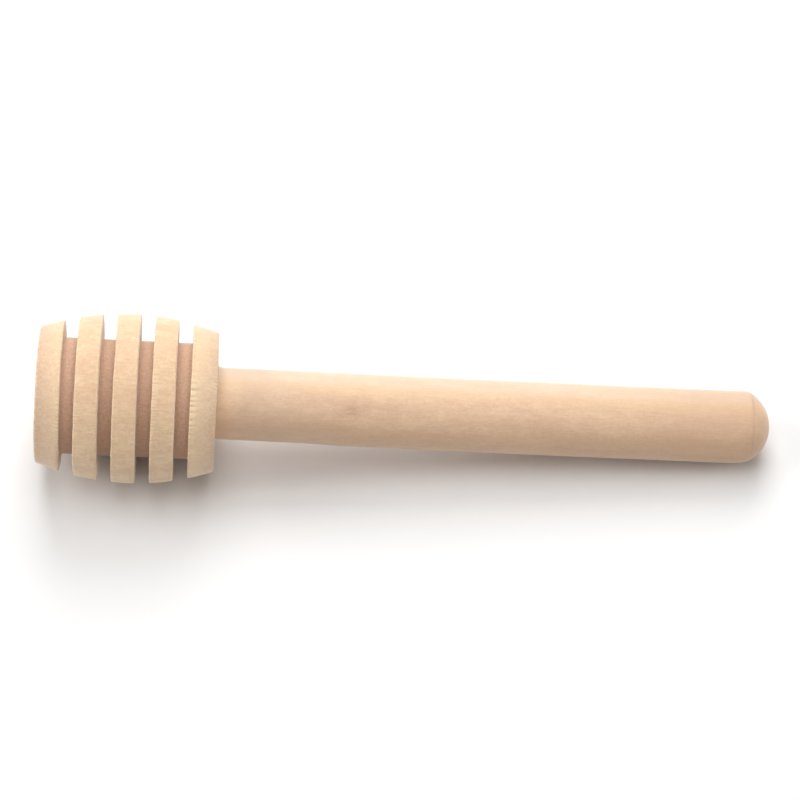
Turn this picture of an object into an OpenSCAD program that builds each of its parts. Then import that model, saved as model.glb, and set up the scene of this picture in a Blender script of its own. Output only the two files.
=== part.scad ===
// Small wooden honey dipper, lying as it rests: on the widest ribs of its head and on the handle's heel.
// The handle is a dowel with a shouldered tenon, glued into a blind socket that is bored in the turned head.
// Millimetres. Z = 0 is the surface that it lies on, and +X points from the head to the handle's domed end.

/* [Overall] */
// Length from the head's end face to the tip of the handle's dome
total_len = 80; // [70:1:110]

/* [Head] */
// Diameter of the head at its widest section
belly_d = 18.4; // [17:0.1:22]
// Diameter of the head at its end face
end_d = 14.7; // [13.6:0.1:16]
// How far the widest section lies past the head's middle, towards the handle
belly_shift = 0.25; // [-0.5:0.05:1]
// Number of honey grooves, with one rib more than this
groove_count = 4; // [3:1:6]
// Width of each groove
groove_w = 1.6; // [1:0.1:2.4]
// Diameter of the core at the bottom of the grooves
core_d = 12.6; // [11:0.1:13.4]
// Width of the rib at the end face
end_rib_w = 2.6; // [1.8:0.1:4]
// Width of each rib between two grooves
mid_rib_w = 2.5; // [1.6:0.1:3.4]
// Width of the rib at the handle
neck_rib_w = 2.8; // [1.8:0.1:4]
// Flat that is broken off each sharp turned edge
edge_break = 0.15; // [0.05:0.05:0.3]

/* [Handle] */
// Diameter of the handle's dowel
handle_d = 8; // [6.5:0.1:9]
// Length of the dome at the handle's free end
dome_len = 2.6; // [1.6:0.1:3.2]

/* [Glued joint] */
// Diameter of the handle's tenon
tenon_d = 6; // [5:0.1:6.2]
// Length of the tenon, from the shoulder that seats on the head
tenon_len = 11.5; // [8:0.5:13]
// Glue film between the tenon and the socket's wall
glue_film = 0.05; // [0.02:0.01:0.15]
// Pocket for spare glue, between the tenon's end and the socket's floor
glue_pocket = 0.5; // [0.2:0.1:1]
// Lead-in chamfer on the tenon's end
tenon_chamfer = 0.5; // [0.2:0.1:1]

/* [Hidden] */
$fn = 96;
arc_fn = 240;
cut_past = 1;

belly_r = belly_d / 2;
core_r = core_d / 2;
handle_r = handle_d / 2;
tenon_r = tenon_d / 2;

// Ribs and grooves alternate from the end face to the neck
mid_rib_count = groove_count - 1;
pitch = mid_rib_w + groove_w;
head_len = end_rib_w + mid_rib_count * pitch + groove_w + neck_rib_w;
groove_starts = [for (i = [0 : groove_count - 1]) end_rib_w + i * pitch];
rib_starts = concat([0], [for (x = groove_starts) x + groove_w]);
rib_ends = concat(groove_starts, [head_len]);

// The side of the head is one arc through the end face's rim and the belly
belly_x = head_len / 2 + belly_shift;
belly_rise = (belly_d - end_d) / 2;
barrel_r = (belly_x ^ 2 + belly_rise ^ 2) / (2 * belly_rise);
function barrel_radius(x) = belly_r - barrel_r + sqrt(barrel_r ^ 2 - (x - belly_x) ^ 2);

// The handle's shoulder seats on the head's back face, and its dome begins at the heel
tenon_x = head_len - tenon_len;
heel_x = total_len - dome_len;
dome_r = (handle_r ^ 2 + dome_len ^ 2) / (2 * dome_len);
socket_x = tenon_x - glue_pocket;
socket_depth = tenon_len + glue_pocket;
socket_r = tenon_r + glue_film;

// The head is thicker than the handle, so at rest the axis slopes down to the heel
touch_steps = 10;
touch_xs = [for (i = [0 : groove_count], k = [0 : touch_steps])
    rib_starts[i] + edge_break + (rib_ends[i] - rib_starts[i] - 2 * edge_break) * k / touch_steps];
rest_tilt = max([for (x = touch_xs) atan((barrel_radius(x) - handle_r) / (heel_x - x))]);
rest_lift = heel_x * sin(rest_tilt) + handle_r * cos(rest_tilt);
low_x = -end_d / 2 * sin(rest_tilt);
high_x = (total_len - dome_r) * cos(rest_tilt) + dome_r;
rest_shift = -(low_x + high_x) / 2;

// Turns a drawing of radius against length about the dipper's axis, which starts at the end face
module turned() {
    rotate([0, 90, 0]) rotate_extrude() children();
}

// Lays the dipper on Z = 0, with its box centred over the origin
module at_rest() {
    translate([rest_shift, 0, rest_lift]) rotate([0, rest_tilt, 0]) children();
}

module barrel_outline() {
    intersection() {
        square([belly_r, head_len]);
        translate([belly_r - barrel_r, belly_x]) circle(r = barrel_r, $fn = arc_fn);
    }
}

module groove_outline(x) {
    translate([core_r, x]) square([belly_r, groove_w]);
}

// A 45 degree cut across one turned corner
module edge_cut(x) {
    translate([barrel_radius(x), x]) rotate(45) square(edge_break * sqrt(2), center = true);
}

module head() {
    color("#e0c297")
    at_rest() turned() difference() {
        barrel_outline();
        for (x = groove_starts) groove_outline(x);
        for (x = concat(rib_starts, rib_ends)) edge_cut(x);
        translate([0, socket_x]) square([socket_r, socket_depth + cut_past]);
    }
}

module dome_outline() {
    intersection() {
        translate([0, total_len - dome_r]) circle(r = dome_r, $fn = arc_fn);
        translate([0, heel_x]) square([handle_r, dome_len]);
    }
}

module handle() {
    color("#d9b78f")
    at_rest() turned() union() {
        difference() {
            translate([0, tenon_x]) square([tenon_r, tenon_len]);
            translate([tenon_r, tenon_x]) rotate(45) square(tenon_chamfer * sqrt(2), center = true);
        }
        translate([0, head_len]) square([handle_r, heel_x - head_len]);
        dome_outline();
    }
}

head();
handle();
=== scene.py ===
import math

import bpy
import numpy as np
from mathutils import Matrix, Vector


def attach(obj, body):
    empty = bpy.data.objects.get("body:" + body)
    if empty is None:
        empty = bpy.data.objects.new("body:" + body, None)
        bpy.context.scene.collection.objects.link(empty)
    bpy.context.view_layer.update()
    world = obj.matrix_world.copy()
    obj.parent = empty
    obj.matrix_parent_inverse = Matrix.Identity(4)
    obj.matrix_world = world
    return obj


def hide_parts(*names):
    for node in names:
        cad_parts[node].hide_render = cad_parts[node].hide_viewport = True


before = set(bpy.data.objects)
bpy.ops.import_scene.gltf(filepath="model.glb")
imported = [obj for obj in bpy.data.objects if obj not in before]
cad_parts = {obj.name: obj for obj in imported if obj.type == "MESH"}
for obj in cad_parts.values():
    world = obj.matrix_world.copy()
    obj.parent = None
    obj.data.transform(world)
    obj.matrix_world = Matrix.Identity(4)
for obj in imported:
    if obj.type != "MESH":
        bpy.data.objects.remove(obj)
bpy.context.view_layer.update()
print("packed part loaded:", ", ".join(sorted(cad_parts)))

mm = 0.001
fullTurn = 2 * math.pi
slack = 0.01  # millimetres, for telling apart places along the axis

# sizes of the dipper in millimetres, as in the part's source; x runs along its own axis from the end face
dipper = {
    "totalLen": 80.0,
    "bellyR": 9.2,
    "endR": 7.35,
    "bellyShift": 0.25,
    "grooveCount": 4,
    "grooveW": 1.6,
    "coreR": 6.3,
    "endRibW": 2.6,
    "midRibW": 2.5,
    "neckRibW": 2.8,
    "edgeBreak": 0.15,
    "handleR": 4.0,
    "domeLen": 2.6,
    "tenonR": 3.0,
    "tenonLen": 11.5,
    "glueFilm": 0.05,
    "gluePocket": 0.5,
    "tenonChamfer": 0.5,
}

pitch = dipper["midRibW"] + dipper["grooveW"]
grooveStarts = [dipper["endRibW"] + i * pitch for i in range(dipper["grooveCount"])]
headLen = grooveStarts[-1] + dipper["grooveW"] + dipper["neckRibW"]
ribs = list(zip([0.0] + [g + dipper["grooveW"] for g in grooveStarts], grooveStarts + [headLen]))
heelX = dipper["totalLen"] - dipper["domeLen"]
domeR = (dipper["handleR"] ** 2 + dipper["domeLen"] ** 2) / (2 * dipper["domeLen"])
bellyX = headLen / 2 + dipper["bellyShift"]
bellyRise = dipper["bellyR"] - dipper["endR"]
barrelR = (bellyX ** 2 + bellyRise ** 2) / (2 * bellyRise)


def barrelRadius(x):
    return dipper["bellyR"] - barrelR + math.sqrt(barrelR ** 2 - (x - bellyX) ** 2)


# the axis slopes down to the heel, because the dipper lies on its widest ribs and its heel
touchSteps = 10
touchPoints = [start + dipper["edgeBreak"] + (end - start - 2 * dipper["edgeBreak"]) * k / touchSteps
               for start, end in ribs for k in range(touchSteps + 1)]
restTilt = max(math.atan((barrelRadius(x) - dipper["handleR"]) / (heelX - x)) for x in touchPoints)
restLift = heelX * math.sin(restTilt) + dipper["handleR"] * math.cos(restTilt)
lowX = -dipper["endR"] * math.sin(restTilt)
highX = (dipper["totalLen"] - domeR) * math.cos(restTilt) + domeR
restShift = -(lowX + highX) / 2
atRest = Matrix.Translation((restShift * mm, 0, restLift * mm)) @ Matrix.Rotation(restTilt, 4, "Y")


# shader expressions
class Value:
    # wraps a shader socket, so that an expression on values adds its Math nodes
    def __init__(self, finish, socket):
        self.finish, self.socket = finish, socket

    def math(self, operation, *others):
        return self.finish.add("ShaderNodeMath", {"operation": operation}, [self, *others])

    def __add__(self, other):
        return self.math("ADD", other)

    def __radd__(self, other):
        return self.math("ADD", other)

    def __sub__(self, other):
        return self.math("SUBTRACT", other)

    def __rsub__(self, other):
        return self.finish.add("ShaderNodeMath", {"operation": "SUBTRACT"}, [other, self])

    def __mul__(self, other):
        return self.math("MULTIPLY", other)

    def __rmul__(self, other):
        return self.math("MULTIPLY", other)

    def __truediv__(self, other):
        return self.math("DIVIDE", other)

    def __rtruediv__(self, other):
        return self.finish.add("ShaderNodeMath", {"operation": "DIVIDE"}, [other, self])

    def __pow__(self, other):
        return self.math("POWER", other)


class Finish:
    # the node tree of a material or of the world
    def __init__(self, owner):
        owner.use_nodes = True
        self.tree = owner.node_tree
        self.tree.nodes.clear()

    def add(self, kind, settings=None, inputs=None, output=0):
        # inputs are a list in the order of the sockets, or a dictionary by socket name or number
        node = self.tree.nodes.new(kind)
        for key, setting in (settings or {}).items():
            setattr(node, key, setting)
        pairs = enumerate(inputs) if isinstance(inputs, (list, tuple)) else (inputs or {}).items()
        for key, given in pairs:
            if isinstance(given, Value):
                self.tree.links.new(given.socket, node.inputs[key])
            elif given is not None:
                node.inputs[key].default_value = given
        return Value(self, node.outputs[output]) if node.outputs else None

    def mixColour(self, factor, first, second):
        colours = [c if isinstance(c, Value) else (*c, 1) for c in (first, second)]
        return self.add("ShaderNodeMix", {"data_type": "RGBA"}, {0: factor, 6: colours[0], 7: colours[1]}, 2)

    def stretch(self, vector, scale):
        return self.add("ShaderNodeVectorMath", {"operation": "MULTIPLY"}, [vector, scale])

    def noise(self, vector, scale, detail=2.0, roughness=0.5):
        return self.add("ShaderNodeTexNoise", {}, {
            "Vector": self.stretch(vector, scale), "Scale": 1.0, "Detail": detail, "Roughness": roughness})

    def ramp(self, value, low, high):
        # 0 below low, 1 above high, smooth between
        return self.add("ShaderNodeMapRange", {"interpolation_type": "SMOOTHSTEP"},
                        {"Value": value, "From Min": low, "From Max": high, "To Min": 0.0, "To Max": 1.0})

    def band(self, value, centre, halfWidth):
        # 1 around the centre, 0.5 at the half width, 0 well outside
        return 1 / (1 + ((value - centre) / halfWidth) ** 4.0)

    def component(self, vector, number):
        return self.add("ShaderNodeSeparateXYZ", {}, [vector], number)


# meshes
def sectionRows(corners):
    # corners are (x, radius, rounding, step to the next corner); rounded corners become short curves
    curvePoints = 4
    points = []
    for i, (x, r, rounding, step) in enumerate(corners):
        here = np.array((x, r))
        if rounding == 0:
            points.append((here, step))
            continue
        back = np.array(corners[i - 1][:2]) - here
        ahead = np.array(corners[i + 1][:2]) - here
        first = here + back / np.linalg.norm(back) * rounding
        last = here + ahead / np.linalg.norm(ahead) * rounding
        for t in np.linspace(0, 1, curvePoints):
            points.append((first * (1 - t) ** 2 + here * 2 * t * (1 - t) + last * t ** 2, step))
    rows = []
    for (start, step), (end, _) in zip(points, points[1:]):
        cuts = max(1, math.ceil(np.linalg.norm(end - start) / step - 0.01))
        rows += [start + (end - start) * k / cuts for k in range(cuts)]
    rows.append(points[-1][0])
    return np.array(rows)


def turnedMesh(name, rows, segments, shape):
    # rows run from one pole on the axis to the other; shape moves the grid of points off the true turning
    angles = np.arange(segments) * fullTurn / segments
    x, angle = np.meshgrid(rows[1:-1, 0], angles, indexing="ij")
    radius = np.repeat(rows[1:-1, 1][:, None], segments, axis=1)
    x, radius, masks = shape(x, radius, angle)
    grid = np.stack([x, -radius * np.sin(angle), radius * np.cos(angle)], axis=2).reshape(-1, 3)
    points = np.vstack([grid, (rows[0, 0], 0, 0), (rows[-1, 0], 0, 0)]) * mm
    count = len(rows) - 2
    here = np.arange(count * segments).reshape(count, segments)
    beside = np.roll(here, -1, axis=1)
    # corners go anticlockwise as seen from outside, so that the normals point outwards
    quads = np.stack([here[:-1], beside[:-1], beside[1:], here[1:]], axis=2).reshape(-1, 4)
    firstPole, lastPole = len(grid), len(grid) + 1
    fans = [(firstPole, b, a) for a, b in zip(here[0], beside[0])]
    fans += [(lastPole, a, b) for a, b in zip(here[-1], beside[-1])]
    mesh = bpy.data.meshes.new(name)
    mesh.from_pydata(points.tolist(), [], quads.tolist() + [tuple(map(int, f)) for f in fans])
    mesh.polygons.foreach_set("use_smooth", [True] * len(mesh.polygons))
    for maskName, mask in masks.items():
        layer = mesh.attributes.new(maskName, "FLOAT", "POINT")
        layer.data.foreach_set("value", np.append(mask.reshape(-1), (0, 0)).astype(np.float32))
    mesh.update()
    piece = bpy.data.objects.new(name, mesh)
    bpy.context.scene.collection.objects.link(piece)
    piece.matrix_world = atRest
    return piece


def ripple(rng, angle, low, high, count=9):
    # irregular waves round the axis, with whole numbers of waves per turn between low and high, from -1 to 1
    waves = rng.integers(low, high + 1, count)
    phases = rng.uniform(0, fullTurn, count)
    weights = rng.uniform(0.5, 1, count)
    total = sum(w * np.cos(n * angle + p) for n, p, w in zip(waves, phases, weights))
    return total / math.sqrt((weights ** 2).sum() * 2)


def scallops(rng, angle, count):
    # narrow hollows between wider crests, unevenly spaced: 1 in a hollow, 0 on a crest
    phase = angle * count / 2 + ripple(rng, angle, 3, 23) * 1.3
    depth = (0.7 + 0.35 * ripple(rng, angle, 10, 40)).clip(0.15, 1)
    return (1 - np.abs(np.sin(phase))) ** 1.7 * depth


def sway(rng, x, length, count=5):
    # slow waves along the axis, of about the given wavelength
    total = 0
    for _ in range(count):
        wavelength = length * rng.uniform(0.7, 1.6)
        total = total + np.cos(fullTurn * x / wavelength + rng.uniform(0, fullTurn))
    return total / math.sqrt(count * 2)


def bell(value, centre, spread):
    return np.exp(-((value - centre) / spread) ** 2)


def around(angle, centre):
    # angle from centre, between -180 and 180 degrees
    return (np.degrees(angle) - centre + 180) % 360 - 180


# camera
view = {
    "elevation": 60.0,
    "azimuth": 0.532,
    "targetX": -0.440,
    "targetY": 5.420,
    "distance": 342.70,
    "sensor": 36.0,    # millimetres
    "focal": 137.655,  # millimetres
}
azimuth, elevation = math.radians(view["azimuth"]), math.radians(view["elevation"])
towardsCamera = Vector((math.sin(azimuth) * math.cos(elevation), -math.cos(azimuth) * math.cos(elevation),
                        math.sin(elevation)))
target = Vector((view["targetX"], view["targetY"], 0)) * mm
camData = bpy.data.cameras.new("camera")
camData.sensor_width = view["sensor"]
camData.lens = view["focal"]
camData.clip_start = 0.01
camData.clip_end = 10
cam = bpy.data.objects.new("camera", camData)
bpy.context.scene.collection.objects.link(cam)
cam.location = target + towardsCamera * view["distance"] * mm
cam.rotation_euler = towardsCamera.to_track_quat("Z", "Y").to_euler()
bpy.context.scene.camera = cam
facing = 90 - view["elevation"]  # where round the axis the camera's side is, in degrees from the top


# head
head = {
    "segments": 590,
    # steps between the rows of points, in mm
    "steps": {"face": 0.23, "wall": 1.0, "core": 0.4, "endFace": 1.2, "socket": 3.0, "socketEnd": 1.5},
    "edgeRound": 0.14,
    "grooveRound": 0.12,
    "wobble": 0.03,        # how far the saw-cut walls wander, in mm
    "unevenness": 0.03,    # slow dips in the turned faces
    "fineUnevenness": 0.003,
    # torn stretches of rib edge: rib, side, centre and half width in degrees from the camera's side,
    # depth, reach from the edge and spacing, in mm
    "tears": [
        (4, 0, 2, 25, 0.16, 0.66, 0.60),
        (3, 0, -4, 26, 0.075, 0.90, 0.36),
        (3, 0, 28, 20, 0.08, 0.25, 0.42),
        (3, 1, 24, 16, 0.06, 0.22, 0.45),
        (0, 1, 20, 28, 0.10, 0.42, 0.40),
        (2, 0, 40, 30, 0.05, 0.25, 0.40),
        (4, 1, -16, 14, 0.08, 0.50, 0.38),
        (4, 0, 44, 22, 0.07, 0.25, 0.45),
        (1, 0, 12, 26, 0.05, 0.45, 0.36),
        (1, 1, 152, 40, 0.08, 0.50, 0.45),
        (3, 1, 205, 50, 0.11, 0.60, 0.60),
        (0, 1, 250, 30, 0.08, 0.45, 0.42),
        (2, 1, 110, 30, 0.07, 0.45, 0.40),
        (4, 0, 160, 45, 0.12, 0.70, 0.62),
    ],
    # ripples right across a rib's face: rib, centre and half width in degrees, depth, spacing
    "chatter": [
        (1, 13, 12, 0.036, 0.36),
        (3, 6, 16, 0.014, 0.34),
        (0, 12, 18, 0.014, 0.42),
        (3, 190, 30, 0.020, 0.36),
        (2, 100, 25, 0.015, 0.40),
    ],
    # painted shade in their hollows and painted highlight on their crests: the level with no change, and the
    # gain
    "tearShading": (0.38, 16),
    "chatterShading": (0.30, 22),
    # strengths of the painted highlight on the crests and of the painted shade in the hollows
    "tornHighlight": 0.75,
    "tornShade": 0.40,
    "outerPaintedLight": 0.30,           # the two outer ribs are painted paler, as painted light on their sideways-facing faces
    "grooveTint": (0.58, 0.68),  # at the least, and what the dirt adds
    "grooveSpeckle": 0.42,
    "grooveSmear": 0.42,
    "grooveRoughness": 0.12,
    "edgeHighlight": 0.45,            # painted highlight, a bright line along each rib's edge
    "edgeHighlightWidth": 0.16,
    "turningMarks": 0.35,        # relief of the tool marks on the faces, and of those on the end faces
    "endMarks": 1.2,
    "pith": (9.0, -21.0, 0.02, -0.03),
    "noiseSeed": 1,
    "colours": {
        "cream": (0.90, 0.70, 0.458),
        "pink": (0.87, 0.64, 0.424),
        "late": (0.68, 0.44, 0.27),
        "groove": (0.65, 0.45, 0.33),
        # edge: pale wood, and also the colour of the painted highlights and painted light on the ribs
        "edge": (0.96, 0.80, 0.56),
        "ring": (0.50, 0.31, 0.18),
    },
}


def headSection():
    steps, core = head["steps"], dipper["coreR"]
    facePoints, faceInset = 5, 0.35
    corners = [(0, 0, 0, steps["endFace"])]
    for number, (start, end) in enumerate(ribs):
        corners.append((start, barrelRadius(start), head["edgeRound"], steps["face"]))
        for x in np.linspace(start + faceInset, end - faceInset, facePoints):
            corners.append((x, barrelRadius(x), 0, steps["face"]))
        corners.append((end, barrelRadius(end), head["edgeRound"], steps["wall"]))
        if number < len(ribs) - 1:
            corners.append((end, core, head["grooveRound"], steps["core"]))
            corners.append((end + dipper["grooveW"], core, head["grooveRound"], steps["wall"]))
    socketR = dipper["tenonR"] + dipper["glueFilm"]
    socketX = headLen - dipper["tenonLen"] - dipper["gluePocket"]
    corners.append((headLen, socketR, 0, steps["socket"]))
    corners.append((socketX, socketR, 0, steps["socketEnd"]))
    corners.append((socketX, 0, 0, steps["socketEnd"]))
    return sectionRows(corners)


def headShape(x, radius, angle):
    # each torn or rippled stretch has a generator of its own, so that a change to one leaves the others
    rng = np.random.default_rng(7)
    firstChatterSeed = 100
    walls = {}
    for number in range(len(ribs)):
        for side in (0, 1):
            wander = ripple(rng, angle, 1, 5) + 0.5 * ripple(rng, angle, 8, 30)
            walls[number, side] = wander * head["wobble"]
    waves = ripple(rng, angle, 1, 4) * 0.6 + ripple(rng, angle + x * 0.05, 5, 14) * 0.4
    slowDip = (waves + 1) / 2 * head["unevenness"]
    fineDip = ripple(rng, angle, 60, 130) * head["fineUnevenness"]
    # 0 at the core, rising to 1 on the faces and along the walls
    onFace = np.clip((radius - dipper["coreR"] - 0.1) / 0.6, 0, 1)
    depthReach = np.clip((radius - dipper["coreR"]) / 1.5, 0, 1)
    newX, newRadius, torn = x.copy(), radius.copy(), np.zeros_like(x)
    for number, (start, end) in enumerate(ribs):
        own = (x > start - slack) & (x < end + slack) & (radius > dipper["coreR"])
        along = np.clip((x - start) / (end - start), 0, 1)
        left = np.abs(walls[number, 0]) if number == 0 else walls[number, 0]
        right = walls[number, 1] if number < len(ribs) - 1 else np.zeros_like(x)
        newX = np.where(own, newX + ((1 - along) * left - along * right) * depthReach, newX)
        dip, paintedShading = slowDip + fineDip, np.zeros_like(x)
        girth = fullTurn * barrelRadius((start + end) / 2)
        for seed, (rib, side, centre, spread, depth, reach, spacing) in enumerate(head["tears"]):
            if rib == number:
                rng = np.random.default_rng(seed)
                window = bell(around(angle, centre + facing), 0, spread)
                hollows = scallops(rng, angle, round(girth / spacing))
                reached = reach * (1 + 0.3 * ripple(rng, angle, 20, 60))
                fade = bell(x, (start, end)[side], reached) * window
                dip = dip + depth * hollows * fade
                # the hollows get painted shade and the crests painted highlight
                paintedShading = paintedShading + (head["tearShading"][0] - hollows) * fade * depth * head["tearShading"][1]
        for seed, (rib, centre, spread, depth, spacing) in enumerate(head["chatter"]):
            if rib == number:
                rng = np.random.default_rng(firstChatterSeed + seed)
                window = bell(around(angle, centre + facing), 0, spread)
                hollows = scallops(rng, angle + 0.02 * np.sin(x * 1.3), round(girth / spacing))
                dip = dip + depth * hollows * window
                paintedShading = paintedShading + (head["chatterShading"][0] - hollows) * window * depth * head["chatterShading"][1]
        newRadius = np.where(own, newRadius - np.clip(dip, 0, None) * onFace, newRadius)
        torn = np.where(own, paintedShading * onFace, torn)
    return newX, newRadius, {"torn": torn}


headPiece = turnedMesh("turned_head", headSection(), head["segments"], headShape)
print("head:", len(headPiece.data.vertices), "points")


# handle
handle = {
    "segments": 240,
    "heelRound": 0.22,
    "unevenness": 0.05,
    "offCentre": 0.13,      # how far the dowel sits off the head's axis, towards its lower side
    "offCentreFade": 30.0,  # length over which that goes back to nothing, up to the heel
    # the neck is sanded thinner and the heel is worn, most at neckAim degrees from the camera's side
    "neckEnd": 31.4,
    "neckAim": 70.0,
    "neckDip": 0.13,
    "heelWear": 0.16,
    # a small knot with a crack beside it, aimed in degrees from the camera's side
    "knotX": 33.9,
    "knotAim": 2.0,
    "knotDepth": 0.06,
    "knotSize": (0.95, 0.42),  # along the grain and across it
    "crackSize": (0.5, 0.055),
    "crackBelow": 0.38,
    # strengths of the knot's tints: dark heart, bright dot, crack, rings round it
    "knotTints": {"heart": 0.50, "dot": 0.38, "crack": 0.85, "halo": 0.12, "rings": 0.38},
    # painted light along the handle, a pale painted sheen on the upper edge and a golden painted highlight
    # below it: millimetres below its axis, half thickness, strength, colour
    "paintedLightBands": [(-3.5, 1.15, 0.46, "band"), (-2.0, 0.65, 0.22, "gold")],
    # wavy planes of darker grain, and a broad plane of painted shade on the underside: millimetres below the
    # axis, half thickness, strength
    "grainAndShadeStreaks": [(2.55, 0.75, 0.32), (3.5, 1.3, 0.20), (-3.6, 0.5, 0.16), (0.9, 0.35, 0.08)],
    "streakWander": 1.6,
    # a paler start and a duller end: from and to along the axis, strength
    "paleStart": (21, 34, 0.16),
    "dullEnd": (56, 75, 0.36),
    "rim": (0.30, 0.28, 0.36),  # painted shade in a line round the heel: place past the heel, half width, strength
    "domeGrain": 0.6,           # how much of the end grain the dome shows
    "turningMarks": 0.15,
    "pith": (-6.0, -13.0, 0.03, 0.05),
    "noiseSeed": 2,
    "colours": {
        "cream": (0.85, 0.635, 0.425),
        "pink": (0.80, 0.575, 0.40),
        "late": (0.64, 0.41, 0.26),
        "knot": (0.50, 0.31, 0.18),
        "band": (0.86, 0.75, 0.61),
        "gold": (0.90, 0.66, 0.36),
        "edge": (0.90, 0.70, 0.50),
        "ring": (0.50, 0.31, 0.18),
    },
}


def handleSection():
    start, chamfer = headLen - dipper["tenonLen"], dipper["tenonChamfer"]
    r, tenonR = dipper["handleR"], dipper["tenonR"]
    domeCentre = dipper["totalLen"] - domeR
    sweep = math.asin(r / domeR)
    shoulderZone, domeSteps = 0.3, 22
    corners = [
        (start, 0, 0, 1.0),
        (start, tenonR - chamfer, 0, 1.0),
        (start + chamfer, tenonR, 0, 1.5),
        (headLen, tenonR, 0, 1.0),
        (headLen, r, 0, 0.1),
        (headLen + shoulderZone, r, 0, 0.32),
        (heelX, r, handle["heelRound"], 0.2),
    ]
    # the first two steps of the dome are taken up by the rounded heel
    for a in np.linspace(sweep, 0, domeSteps)[2:-1]:
        corners.append((domeCentre + domeR * math.cos(a), domeR * math.sin(a), 0, 1.0))
    corners.append((dipper["totalLen"], 0, 0, 1.0))
    return sectionRows(corners)


def handleShape(x, radius, angle):
    rng = np.random.default_rng(11)
    outside = (x > headLen + slack) & (x < heelX + dipper["domeLen"])
    slow = ripple(rng, angle + x * 0.01, 1, 3) + sway(rng, x, 22) + ripple(rng, angle + x * 0.05, 3, 7) * 0.4
    largest, neckSoftness, shoulderFade, tipFade = 2.4, 0.9, 0.4, 3.5
    dip = (slow / largest * 0.5 + 0.5).clip(0, None) * handle["unevenness"]
    aside = around(angle, handle["neckAim"] + facing)
    neck = 1 / (1 + np.exp((x - handle["neckEnd"]) / neckSoftness))
    dip = dip + handle["neckDip"] * neck * (0.2 + 0.8 * bell(aside, 0, 60))
    dip = dip + handle["heelWear"] * bell(x, heelX, 0.9) * bell(aside, 0, 50)
    # the knot is a small hollow with raised lips
    sideways = np.radians(around(angle, handle["knotAim"] + facing)) * dipper["handleR"]
    hollow = bell(x, handle["knotX"], 0.5) * bell(sideways, 0, 0.28)
    lips = bell(x, handle["knotX"], 1.5) * bell(sideways, 0, 0.9)
    dip = dip + handle["knotDepth"] * (hollow - lips / 3)
    lower = np.cos(angle - math.radians(90 + facing))
    offset = handle["offCentre"] * np.clip((heelX - x) / handle["offCentreFade"], 0, 1) ** 0.5 * lower
    # nothing moves at the shoulder or at the dome's tip
    fade = np.clip((x - headLen) / shoulderFade, 0, 1) * np.clip((dipper["totalLen"] - x) / tipFade, 0, 1)
    return x, np.where(outside, radius + (offset - np.clip(dip, 0, None)) * fade, radius), {}


handlePiece = turnedMesh("dowel_handle", handleSection(), handle["segments"], handleShape)
print("handle:", len(handlePiece.data.vertices), "points")


# wood of both pieces
timber = {
    "ringSpacing": 1.9,  # mm
    "ringBend": 3.0,     # mm by which the rings stray from circles
    "ringTint": 0.16,
    # noise scale per mm along and across the grain, detail, roughness, and the levels it fades in between
    "patches": ((0.11, 0.36, 0.36), 3.0, 0.55, 0.34, 0.66),
    # the same for the tints that follow in this order, with their strength and colour
    "layers": {
        "fibres": ((0.35, 3.0, 3.0), 4.0, 0.65, 0.35, 0.72, 0.30, "late"),
        "fineFibres": ((1.1, 7.0, 7.0), 2.0, 0.50, 0.42, 0.68, 0.32, "late"),
        "speckle": ((3.6, 4.6, 4.6), 2.0, 0.60, 0.46, 0.66, 0.32, "late"),
        "flush": ((0.45, 0.8, 0.8), 2.0, 0.50, 0.42, 0.66, 0.18, "late"),
        "cloud": ((0.9, 1.5, 1.5), 3.0, 0.60, 0.45, 0.72, 0.30, "edge"),
        "pores": ((1.0, 11.0, 11.0), 1.0, 0.50, 0.66, 0.76, 0.22, "late"),
    },
    "relief": {"fibres": 0.5, "fineFibres": 0.3, "speckle": 0.5, "cloud": 0.4},
    "ringRelief": 0.15,
    "poreRelief": -0.5,
    "bump": 0.35,
    "bumpHeight": 0.03,  # mm
    "roughness": 0.52,   # at the least, and what the fibres and the cloud add
    "fibreRoughness": 0.18,
    "cloudRoughness": 0.06,
    # strengths on a surface that is cut across the fibres
    "endGrain": {"dark": 0.34, "rings": 0.26, "rays": 0.45, "pores": 0.40},
    "shader": {"IOR": 1.5, "Specular IOR Level": 0.5, "Diffuse Roughness": 0.7,
               "Sheen Weight": 0.28, "Sheen Roughness": 0.35},
}


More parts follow.
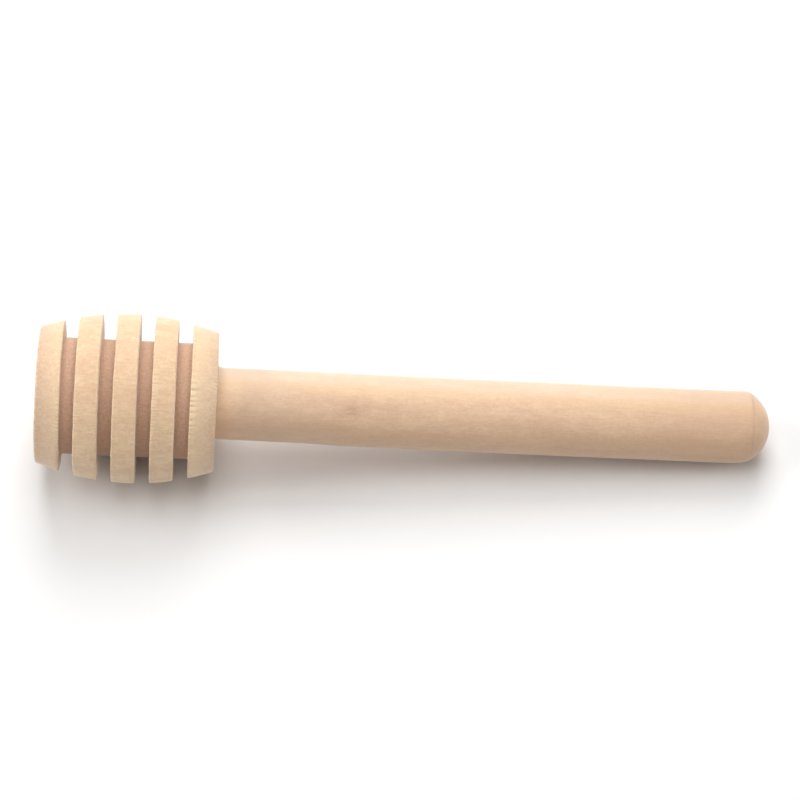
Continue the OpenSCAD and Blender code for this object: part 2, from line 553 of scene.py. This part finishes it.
def woodFinish(name, look, marks):
    # solid wood round a pith line beside the piece: pith is y, z and how it leans along x in each
    material = bpy.data.materials.new(name)
    wood = Finish(material)
    colours, pith, seed = look["colours"], look["pith"], look["noiseSeed"]
    spot = wood.add("ShaderNodeTexCoord", {}, {}, 3)
    place = wood.stretch(spot, (1 / mm, 1 / mm, 1 / mm))
    away = (seed * 31.7, seed * 17.3, seed * 5.9)  # so that no two pieces share their noise
    moved = wood.add("ShaderNodeVectorMath", {"operation": "ADD"}, [place, away])
    x, y, z = (wood.component(place, i) for i in range(3))
    bend = wood.noise(moved, (0.035, 0.12, 0.12))
    across, upward = y - pith[0] + x * pith[2], z - pith[1] + x * pith[3]
    ringRadius = (across * across + upward * upward) ** 0.5 + (bend - 0.5) * timber["ringBend"]
    rings = ((ringRadius * (fullTurn / timber["ringSpacing"])).math("SINE") * 0.5 + 0.5) ** 3.0
    # rays run from the pith outwards, and only the end grain shows them as lines
    rayAngle = across.math("ARCTAN2", upward)
    rayPlace = wood.add("ShaderNodeCombineXYZ", {}, [rayAngle * 90, ringRadius * 0.45, x * 0.3])
    rays = wood.noise(rayPlace, (1, 1, 1), 2.0, 0.6)

    *patchNoise, low, high = timber["patches"]
    patches = wood.ramp(wood.noise(moved, *patchNoise), low, high)
    tint = wood.mixColour(patches, colours["cream"], colours["pink"])
    tint = wood.mixColour(rings * timber["ringTint"], tint, colours["late"])
    noises, shown = {}, {}
    for layer, (scale, detail, roughness, low, high, strength, colour) in timber["layers"].items():
        noises[layer] = wood.noise(moved, scale, detail, roughness)
        shown[layer] = wood.ramp(noises[layer], low, high)
        tint = wood.mixColour(shown[layer] * strength, tint, colours[colour])

    height = rings * timber["ringRelief"] + shown["pores"] * timber["poreRelief"]
    for layer, relief in timber["relief"].items():
        height = height + noises[layer] * relief
    rough = noises["fibres"] * timber["fibreRoughness"] + noises["cloud"] * timber["cloudRoughness"]
    grain = {"moved": moved, "x": x, "y": y, "z": z, "rings": rings, "rays": rays}
    grain["speckle"] = noises["speckle"]
    tint, height, rough = marks(wood, grain, tint, height, rough + timber["roughness"])
    bump = wood.add("ShaderNodeBump", {}, {
        "Strength": timber["bump"], "Distance": timber["bumpHeight"] * mm, "Height": height})
    shader = wood.add("ShaderNodeBsdfPrincipled", {}, {
        "Base Color": tint, "Roughness": rough, "Normal": bump, **timber["shader"]})
    wood.add("ShaderNodeOutputMaterial", {}, {"Surface": shader})
    return material


def endGrain(wood, grain, mask, colours, tint):
    # cut across the fibres, the wood is darker and shows its rings, rays and open pores
    strength = timber["endGrain"]
    tint = wood.mixColour(mask * strength["dark"], tint, colours["late"])
    tint = wood.mixColour(mask * grain["rings"] * strength["rings"], tint, colours["ring"])
    rays = wood.ramp(grain["rays"], 0.50, 0.72)
    tint = wood.mixColour(mask * rays * strength["rays"], tint, colours["edge"])
    openPores = wood.ramp(wood.noise(grain["moved"], (1.5, 9.0, 9.0), 1.0), 0.60, 0.68)
    return wood.mixColour(mask * openPores * strength["pores"], tint, colours["ring"])


def headMarks(wood, grain, tint, height, rough):
    x, y, z, moved = (grain[key] for key in ("x", "y", "z", "moved"))
    colours, coreR = head["colours"], dipper["coreR"]
    radius = (y * y + z * z) ** 0.5
    endFace = 1 - wood.ramp(x, 0.04, 0.16) + wood.ramp(x, headLen - 0.05, headLen - 0.01)
    tint = endGrain(wood, grain, endFace, colours, tint)
    # the two outer ribs, painted paler as painted light, with a soft change of 0.5 mm that the grooves hide
    firstEnd, lastStart = ribs[0][1], ribs[-1][0]
    outer = (1 - wood.ramp(x, firstEnd - 0.5, firstEnd)) + wood.ramp(x, lastStart, lastStart + 0.5)
    tint = wood.mixColour(outer * (1 - endFace) * head["outerPaintedLight"], tint, colours["edge"])
    # dirt in the grooves
    dirt = wood.noise(moved, (1.5, 2.4, 2.4), 3.0, 0.65)
    least, more = head["grooveTint"]
    inGroove = (1 - wood.ramp(radius, coreR + 0.3, coreR + 2.2)) * (dirt * more + least) * (1 - endFace)
    speckle = wood.ramp(grain["speckle"], 0.42, 0.62)
    smears = wood.ramp(wood.noise(moved, (1.2, 1.7, 1.7)), 0.50, 0.66)
    tint = wood.mixColour(inGroove, tint, colours["groove"])
    tint = wood.mixColour(inGroove * speckle * head["grooveSpeckle"], tint, colours["ring"])
    tint = wood.mixColour(inGroove * smears * head["grooveSmear"], tint, colours["late"])
    # torn ripples: painted highlight on the crests, painted shade in the hollows
    torn = wood.add("ShaderNodeAttribute", {"attribute_type": "GEOMETRY", "attribute_name": "torn"}, {}, 2)
    tint = wood.mixColour(wood.ramp(torn, 0.02, 0.75) * head["tornHighlight"], tint, colours["edge"])
    tint = wood.mixColour(wood.ramp(0 - torn, 0.05, 0.85) * head["tornShade"], tint, colours["late"])
    # the painted highlight line follows the distance from the nearest groove's wall, and the grain breaks it
    # up
    firstMiddle = grooveStarts[0] + dipper["grooveW"] / 2
    fromMiddle = (x - firstMiddle + pitch * dipper["grooveCount"]).math("PINGPONG", pitch / 2)
    fromWall = fromMiddle - dipper["grooveW"] / 2 + wood.ramp(x, headLen - 1.6, headLen - 1.0) * 2
    broken = wood.ramp(wood.noise(moved, (0.6, 1.6, 1.6), 2.0, 0.6), 0.38, 0.62)
    onRib = wood.ramp(radius, coreR + 0.7, coreR + 1.0)
    onEdge = (1 - wood.ramp(fromWall, 0.02, head["edgeHighlightWidth"])) * onRib
    tint = wood.mixColour(onEdge * broken * head["edgeHighlight"], tint, colours["edge"])
    # tool marks: along the turned faces and round the end faces
    turning = wood.noise(moved, (9.0, 0.35, 0.35), 2.0, 0.6)
    circlePlace = wood.add("ShaderNodeCombineXYZ", {}, [radius * 4, x * 0.2, 0.0])
    circles = wood.noise(circlePlace, (1, 1, 1), 2.0, 0.6)
    height = height + turning * head["turningMarks"] + endFace * circles * head["endMarks"]
    return tint, height, rough + inGroove * head["grooveRoughness"]


def handleMarks(wood, grain, tint, height, rough):
    x, y, z, moved = (grain[key] for key in ("x", "y", "z", "moved"))
    colours, strength = handle["colours"], handle["knotTints"]
    onDome = wood.ramp(x, heelX + 0.2, heelX + 2.2)
    tint = endGrain(wood, grain, onDome * handle["domeGrain"], colours, tint)
    # millimetres from the axis towards the side that is lower in the photo, measured on the wood itself
    lean = math.radians(view["elevation"])
    below = 0 - y * math.sin(lean) - z * math.cos(lean)
    # knot: offset is the distance from its middle, in knot sizes, blurred by the grain
    aim = math.radians(handle["knotAim"] + facing)
    knotY, knotZ = -dipper["handleR"] * math.sin(aim), dipper["handleR"] * math.cos(aim)
    long, wide = handle["knotSize"]
    offX, offY, offZ = (x - handle["knotX"]) / long, (y - knotY) / wide, (z - knotZ) / wide
    blur = wood.noise(moved, (2.2, 4.5, 4.5)) - 0.5
    offset = (offX * offX + offY * offY + offZ * offZ) ** 0.5 + blur * 1.3
    heart = 1 - wood.ramp(offset, 0.1, 1.1)
    dot = 1 - wood.ramp(offset, 0.0, 0.40)
    halo = 1 - wood.ramp(offset, 0.6, 3.2)
    knotRings = (offset * 7.0).math("SINE") * 0.5 + 0.5
    crackLong, crackWide = handle["crackSize"]
    crackBelow = dipper["handleR"] * math.sin(math.radians(handle["knotAim"])) + handle["crackBelow"]
    crackX = (x - handle["knotX"]) / crackLong
    crackV = (below - crackBelow + blur * 0.25) / crackWide
    crack = 1 / (1 + crackX ** 4.0 + crackV * crackV) * wood.ramp(z, 0, 1)
    tint = wood.mixColour(halo * (knotRings * strength["rings"] + strength["halo"]), tint, colours["late"])
    tint = wood.mixColour(heart * strength["heart"], tint, colours["knot"])
    tint = wood.mixColour(dot * strength["dot"], tint, colours["edge"])
    tint = wood.mixColour(crack * strength["crack"], tint, colours["knot"])
    # painted sheen and highlight bands, the two ends, and the streaks of grain and painted shade
    for centre, halfWidth, amount, colour in handle["paintedLightBands"]:
        tint = wood.mixColour(wood.band(below, centre, halfWidth) * amount, tint, colours[colour])
    start, end, amount = handle["paleStart"]
    tint = wood.mixColour((1 - wood.ramp(x, start, end)) * amount, tint, colours["band"])
    start, end, amount = handle["dullEnd"]
    tint = wood.mixColour(wood.ramp(x, start, end) * amount, tint, colours["late"])
    # the streaks are darker grain, and one broad painted shade on the underside
    wavy = below + (wood.noise(moved, (0.07, 0.3, 0.3)) - 0.5) * handle["streakWander"]
    for centre, halfWidth, amount in handle["grainAndShadeStreaks"]:
        tint = wood.mixColour(wood.band(wavy, centre, halfWidth) * amount, tint, colours["late"])
    # painted shade: a dark line round the heel's rounded rim
    place, halfWidth, amount = handle["rim"]
    rim = 1 - wood.ramp((x - heelX - place).math("ABSOLUTE"), 0.05, halfWidth)
    tint = wood.mixColour(rim * amount, tint, colours["late"])
    turning = wood.noise(moved, (6.0, 0.3, 0.3), 2.0, 0.6)
    return tint, height + turning * handle["turningMarks"] - heart * 0.6, rough


headPiece.data.materials.append(woodFinish("head_wood", head, headMarks))
handlePiece.data.materials.append(woodFinish("handle_wood", handle, handleMarks))
for piece, node, slotName in ((headPiece, "head", "head_wood"), (handlePiece, "handle", "handle_wood")):
    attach(piece, "root")
    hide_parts(node)
print("wood materials done")


# floor and light
studio = {
    "floorColour": 0.87,
    "floorHalf": 3.0,              # half of the floor's side, in metres
    "fadeToWhite": (0.045, 0.12),  # the floor turns to plain white between these metres from the middle
    "ambient": 0.04,
    # soft lamps: azimuth from straight behind the dipper, elevation, watts, side in metres
    "lamps": {
        "softbox_back": (0, 50, 1.38, 0.28),
        "softbox_top": (0, 88, 0.82, 0.28),
        "fill_left": (-90, 34, 0.86, 0.28),
        "fill_right": (90, 18, 0.42, 0.28),
        "fill_front": (180, 60, 0.30, 0.28),
    },
    "lampDistance": 0.45,
}


def showsBackground(finish):
    # 1 for the rays that show the white background: to the camera, in a reflection or through glass
    camera, glossy, through = (finish.add("ShaderNodeLightPath", {}, {}, kind)
                               for kind in ("Is Camera Ray", "Is Glossy Ray", "Is Transmission Ray"))
    return camera.math("MAXIMUM", glossy).math("MAXIMUM", through)


floorMesh = bpy.data.meshes.new("table")
half = studio["floorHalf"]
floorCorners = [(-half, -half, 0), (half, -half, 0), (half, half, 0), (-half, half, 0)]
floorMesh.from_pydata(floorCorners, [], [(0, 1, 2, 3)])
floor = bpy.data.objects.new("table", floorMesh)
bpy.context.scene.collection.objects.link(floor)
tableWhite = bpy.data.materials.new("table_white")
table = Finish(tableWhite)
spot = table.add("ShaderNodeTexCoord", {}, {}, 3)
fromOrigin = table.add("ShaderNodeVectorMath", {"operation": "LENGTH"}, [spot], 1)
far = table.ramp(fromOrigin, *studio["fadeToWhite"])
plain = table.add("ShaderNodeBsdfDiffuse", {}, {"Color": (*(studio["floorColour"],) * 3, 1)})
white = table.add("ShaderNodeEmission", {}, {"Color": (1, 1, 1, 1), "Strength": 1.0})
shown = table.add("ShaderNodeMixShader", {}, [showsBackground(table) * far, plain, white])
table.add("ShaderNodeOutputMaterial", {}, {"Surface": shown})
floorMesh.materials.append(tableWhite)

world = bpy.data.worlds.new("studio")
bpy.context.scene.world = world
sky = Finish(world)
strength = showsBackground(sky) * (1 - studio["ambient"]) + studio["ambient"]
background = sky.add("ShaderNodeBackground", {}, {"Color": (1, 1, 1, 1), "Strength": strength})
sky.add("ShaderNodeOutputWorld", {}, {"Surface": background})

for lampName, (aim, height, watts, side) in studio["lamps"].items():
    lampData = bpy.data.lights.new(lampName, "AREA")
    lampData.shape = "SQUARE"
    lampData.size = side
    lampData.energy = watts
    lamp = bpy.data.objects.new(lampName, lampData)
    bpy.context.scene.collection.objects.link(lamp)
    turn, rise = math.radians(aim), math.radians(height)
    fromLamp = Vector((math.sin(turn) * math.cos(rise), math.cos(turn) * math.cos(rise), math.sin(rise)))
    lamp.location = fromLamp * studio["lampDistance"]
    lamp.rotation_euler = fromLamp.to_track_quat("Z", "Y").to_euler()
bpy.context.scene.view_settings.view_transform = "Standard"
print("floor and light done")
